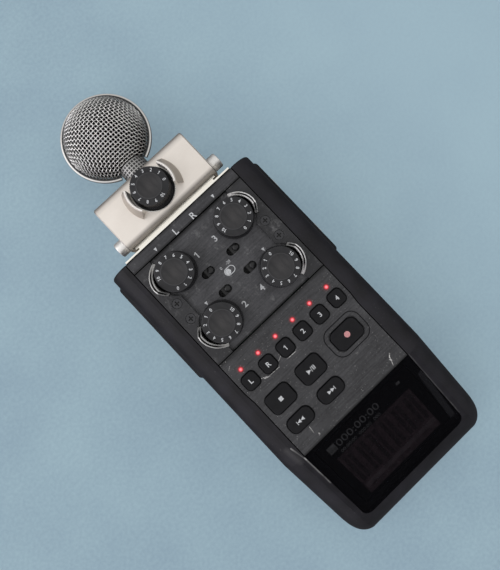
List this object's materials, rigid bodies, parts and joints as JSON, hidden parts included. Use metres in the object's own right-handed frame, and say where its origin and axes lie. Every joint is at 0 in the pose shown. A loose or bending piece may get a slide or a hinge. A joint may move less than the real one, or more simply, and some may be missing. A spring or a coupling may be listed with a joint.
{
  "type": "handheld digital recorder",
  "caption": "Handheld digital audio recorder with input jacks in its sides, guarded gain knobs, transport keys, a sloping screen and a plug-on mesh ball microphone.",
  "frame": {"origin": "mouth of the tripod thread, in the middle of the back face", "axes": "+X right across the controls, +Y from the screen towards the microphone, +Z out of the control face; the recorder lies on its back"},
  "size_m": [0.0772, 0.2215, 0.0478],
  "materials": {
    "body_plastic": "satin black moulded plastic, finely textured",
    "control_plastic": "satin black",
    "panel_finish": "dark grey, finely brushed, satin",
    "input_panel": "satin black",
    "jack_plastic": "satin black",
    "latch_metal": "satin",
    "mount_metal": "satin bright",
    "capsule_metal": "satin warm silver",
    "ring_metal": "satin light silver",
    "mesh_metal": "woven wire",
    "element": "matte black",
    "knob_plastic": "satin black with white numbers",
    "pot_metal": "plain",
    "button_metal": "satin chrome",
    "rail_metal": "polished",
    "switch_plastic": "satin black",
    "key_rubber": "matte black rubber with white marks",
    "led_lens": "clear red",
    "lens_glass": "glossy black glass",
    "display": "dark",
    "board": "green laminate",
    "cell_sleeve": "plain sleeve",
    "contact_metal": "plated",
    "socket_metal": "plated",
    "screw_steel": "black oxide"
  },
  "bodies": {
    "recorder": {"front_cover": "body_plastic", "rear_cover": "body_plastic", "top_bar": "body_plastic", "control_panel": "panel_finish", "gain_panel": "panel_finish", "input_panels": "input_panel", "combo_jack_1": "jack_plastic", "combo_jack_2": "jack_plastic", "combo_jack_3": "jack_plastic", "combo_jack_4": "jack_plastic", "mount_plate": "mount_metal", "gain_pots": "pot_metal", "guard_rails": "rail_metal", "track_leds": "led_lens", "display_lens": "lens_glass", "display_module": "display", "main_board": "board", "battery_cells": "cell_sleeve", "battery_contacts": "contact_metal", "tripod_nut": "contact_metal", "side_sockets": "socket_metal", "screws": "screw_steel"},
    "stop_button": {"stop_button": "key_rubber"},
    "play_button": {"play_button": "key_rubber"},
    "record_button": {"record_button": "key_rubber"},
    "rewind_button": {"rewind_button": "key_rubber"},
    "forward_button": {"forward_button": "key_rubber"},
    "track_button_l": {"track_button_l": "key_rubber"},
    "track_button_r": {"track_button_r": "key_rubber"},
    "track_button_1": {"track_button_1": "key_rubber"},
    "track_button_2": {"track_button_2": "key_rubber"},
    "track_button_3": {"track_button_3": "key_rubber"},
    "track_button_4": {"track_button_4": "key_rubber"},
    "jack_latch_1": {"jack_latch_1": "latch_metal"},
    "jack_latch_2": {"jack_latch_2": "latch_metal"},
    "jack_latch_3": {"jack_latch_3": "latch_metal"},
    "jack_latch_4": {"jack_latch_4": "latch_metal"},
    "menu_button": {"menu_button": "control_plastic"},
    "release_button_left": {"release_button_left": "button_metal"},
    "release_button_right": {"release_button_right": "button_metal"},
    "gain_knob_1": {"gain_knob_1": "knob_plastic"},
    "gain_knob_2": {"gain_knob_2": "knob_plastic"},
    "gain_knob_3": {"gain_knob_3": "knob_plastic"},
    "gain_knob_4": {"gain_knob_4": "knob_plastic"},
    "capsule_knob": {"capsule_knob": "knob_plastic"},
    "pad_switch_1": {"pad_switch_1": "switch_plastic"},
    "pad_switch_2": {"pad_switch_2": "switch_plastic"},
    "pad_switch_3": {"pad_switch_3": "switch_plastic"},
    "pad_switch_4": {"pad_switch_4": "switch_plastic"},
    "scroll_wheel": {"scroll_wheel": "control_plastic"},
    "volume_wheel": {"volume_wheel": "control_plastic"},
    "power_switch": {"power_switch": "control_plastic"},
    "card_cover": {"card_cover": "body_plastic"},
    "battery_door": {"battery_door": "body_plastic"},
    "capsule": {"capsule_base": "capsule_metal", "capsule_housing": "capsule_metal", "capsule_pot": "pot_metal", "ball_ring": "ring_metal", "mesh_domes": "mesh_metal", "mic_elements": "element"}
  },
  "joints": [
    {"name": "capsule_pull", "type": "slide", "parent": "recorder", "child": "capsule", "axis": [0, 1, 0], "range_m": [0, 0.012]},
    {"name": "battery_door_hinge", "type": "hinge", "parent": "recorder", "child": "battery_door", "pos_m": [0, -0.0813, 0.0012], "axis": [-1, 0, 0], "range_deg": [0, 70]},
    {"name": "card_cover_hinge", "type": "hinge", "parent": "recorder", "child": "card_cover", "pos_m": [0.0365, -0.059, 0.0163], "axis": [0, 1, 0], "range_deg": [0, 90]},
    {"name": "power_switch_slide", "type": "slide", "parent": "recorder", "child": "power_switch", "axis": [0, 1, 0], "range_m": [-0.0026, 0.0026]},
    {"name": "scroll_wheel_turn", "type": "hinge", "parent": "recorder", "child": "scroll_wheel", "pos_m": [0.0315, -0.035, 0.0196], "axis": [0, 0, 1], "continuous": true},
    {"name": "volume_wheel_turn", "type": "hinge", "parent": "recorder", "child": "volume_wheel", "pos_m": [-0.0315, -0.042, 0.0196], "axis": [0, 0, 1], "range_deg": [-150, 150]},
    {"name": "capsule_knob_turn", "type": "hinge", "parent": "capsule", "child": "capsule_knob", "pos_m": [0, 0.0601, 0.034], "axis": [0, 0, 1], "range_deg": [-190.2, 111.8]},
    {"name": "stop_button_press", "type": "slide", "parent": "recorder", "child": "stop_button", "axis": [0, 0, -1], "range_m": [0, 0.0005], "stiffness_N_per_m": 250, "springref_m": -0.0005},
    {"name": "play_button_press", "type": "slide", "parent": "recorder", "child": "play_button", "axis": [0, 0, -1], "range_m": [0, 0.0005], "stiffness_N_per_m": 250, "springref_m": -0.0005},
    {"name": "record_button_press", "type": "slide", "parent": "recorder", "child": "record_button", "axis": [0, 0, -1], "range_m": [0, 0.0005], "stiffness_N_per_m": 250, "springref_m": -0.0005},
    {"name": "rewind_button_press", "type": "slide", "parent": "recorder", "child": "rewind_button", "axis": [0, 0, -1], "range_m": [0, 0.0005], "stiffness_N_per_m": 250, "springref_m": -0.0005},
    {"name": "forward_button_press", "type": "slide", "parent": "recorder", "child": "forward_button", "axis": [0, 0, -1], "range_m": [0, 0.0005], "stiffness_N_per_m": 250, "springref_m": -0.0005},
    {"name": "track_button_l_press", "type": "slide", "parent": "recorder", "child": "track_button_l", "axis": [0, 0, -1], "range_m": [0, 0.0005], "stiffness_N_per_m": 250, "springref_m": -0.0005},
    {"name": "track_button_r_press", "type": "slide", "parent": "recorder", "child": "track_button_r", "axis": [0, 0, -1], "range_m": [0, 0.0005], "stiffness_N_per_m": 250, "springref_m": -0.0005},
    {"name": "track_button_1_press", "type": "slide", "parent": "recorder", "child": "track_button_1", "axis": [0, 0, -1], "range_m": [0, 0.0005], "stiffness_N_per_m": 250, "springref_m": -0.0005},
    {"name": "track_button_2_press", "type": "slide", "parent": "recorder", "child": "track_button_2", "axis": [0, 0, -1], "range_m": [0, 0.0005], "stiffness_N_per_m": 250, "springref_m": -0.0005},
    {"name": "track_button_3_press", "type": "slide", "parent": "recorder", "child": "track_button_3", "axis": [0, 0, -1], "range_m": [0, 0.0005], "stiffness_N_per_m": 250, "springref_m": -0.0005},
    {"name": "track_button_4_press", "type": "slide", "parent": "recorder", "child": "track_button_4", "axis": [0, 0, -1], "range_m": [0, 0.0005], "stiffness_N_per_m": 250, "springref_m": -0.0005},
    {"name": "jack_latch_1_press", "type": "slide", "parent": "recorder", "child": "jack_latch_1", "axis": [1, 0, 0], "range_m": [0, 0.0012], "stiffness_N_per_m": 400, "springref_m": -0.0012},
    {"name": "jack_latch_2_press", "type": "slide", "parent": "recorder", "child": "jack_latch_2", "axis": [1, 0, 0], "range_m": [0, 0.0012], "stiffness_N_per_m": 400, "springref_m": -0.0012},
    {"name": "jack_latch_3_press", "type": "slide", "parent": "recorder", "child": "jack_latch_3", "axis": [-1, 0, 0], "range_m": [0, 0.0012], "stiffness_N_per_m": 400, "springref_m": -0.0012},
    {"name": "jack_latch_4_press", "type": "slide", "parent": "recorder", "child": "jack_latch_4", "axis": [-1, 0, 0], "range_m": [0, 0.0012], "stiffness_N_per_m": 400, "springref_m": -0.0012},
    {"name": "menu_button_press", "type": "slide", "parent": "recorder", "child": "menu_button", "axis": [-1, 0, 0], "range_m": [0, 0.0005], "stiffness_N_per_m": 300, "springref_m": -0.0005},
    {"name": "release_button_left_press", "type": "slide", "parent": "capsule", "child": "release_button_left", "axis": [1, 0, 0], "range_m": [0, 0.0015], "stiffness_N_per_m": 500, "springref_m": -0.0015},
    {"name": "release_button_right_press", "type": "slide", "parent": "capsule", "child": "release_button_right", "axis": [-1, 0, 0], "range_m": [0, 0.0015], "stiffness_N_per_m": 500, "springref_m": -0.0015},
    {"name": "gain_knob_1_turn", "type": "hinge", "parent": "recorder", "child": "gain_knob_1", "pos_m": [-0.0153, 0.029, 0.0362], "axis": [0, 0, 1], "range_deg": [-71.7, 209.3]},
    {"name": "gain_knob_2_turn", "type": "hinge", "parent": "recorder", "child": "gain_knob_2", "pos_m": [-0.0153, 0.0028, 0.0362], "axis": [0, 0, 1], "range_deg": [-281, 0]},
    {"name": "gain_knob_3_turn", "type": "hinge", "parent": "recorder", "child": "gain_knob_3", "pos_m": [0.0153, 0.029, 0.0362], "axis": [0, 0, 1], "range_deg": [-104, 177]},
    {"name": "gain_knob_4_turn", "type": "hinge", "parent": "recorder", "child": "gain_knob_4", "pos_m": [0.0153, 0.0028, 0.0362], "axis": [0, 0, 1], "range_deg": [-281, 0]},
    {"name": "pad_switch_1_slide", "type": "slide", "parent": "recorder", "child": "pad_switch_1", "axis": [1, 0, 0], "range_m": [-0.0026, 0]},
    {"name": "pad_switch_2_slide", "type": "slide", "parent": "recorder", "child": "pad_switch_2", "axis": [1, 0, 0], "range_m": [-0.0026, 0]},
    {"name": "pad_switch_3_slide", "type": "slide", "parent": "recorder", "child": "pad_switch_3", "axis": [1, 0, 0], "range_m": [-0.0026, 0]},
    {"name": "pad_switch_4_slide", "type": "slide", "parent": "recorder", "child": "pad_switch_4", "axis": [1, 0, 0], "range_m": [-0.0026, 0]}
  ]
}
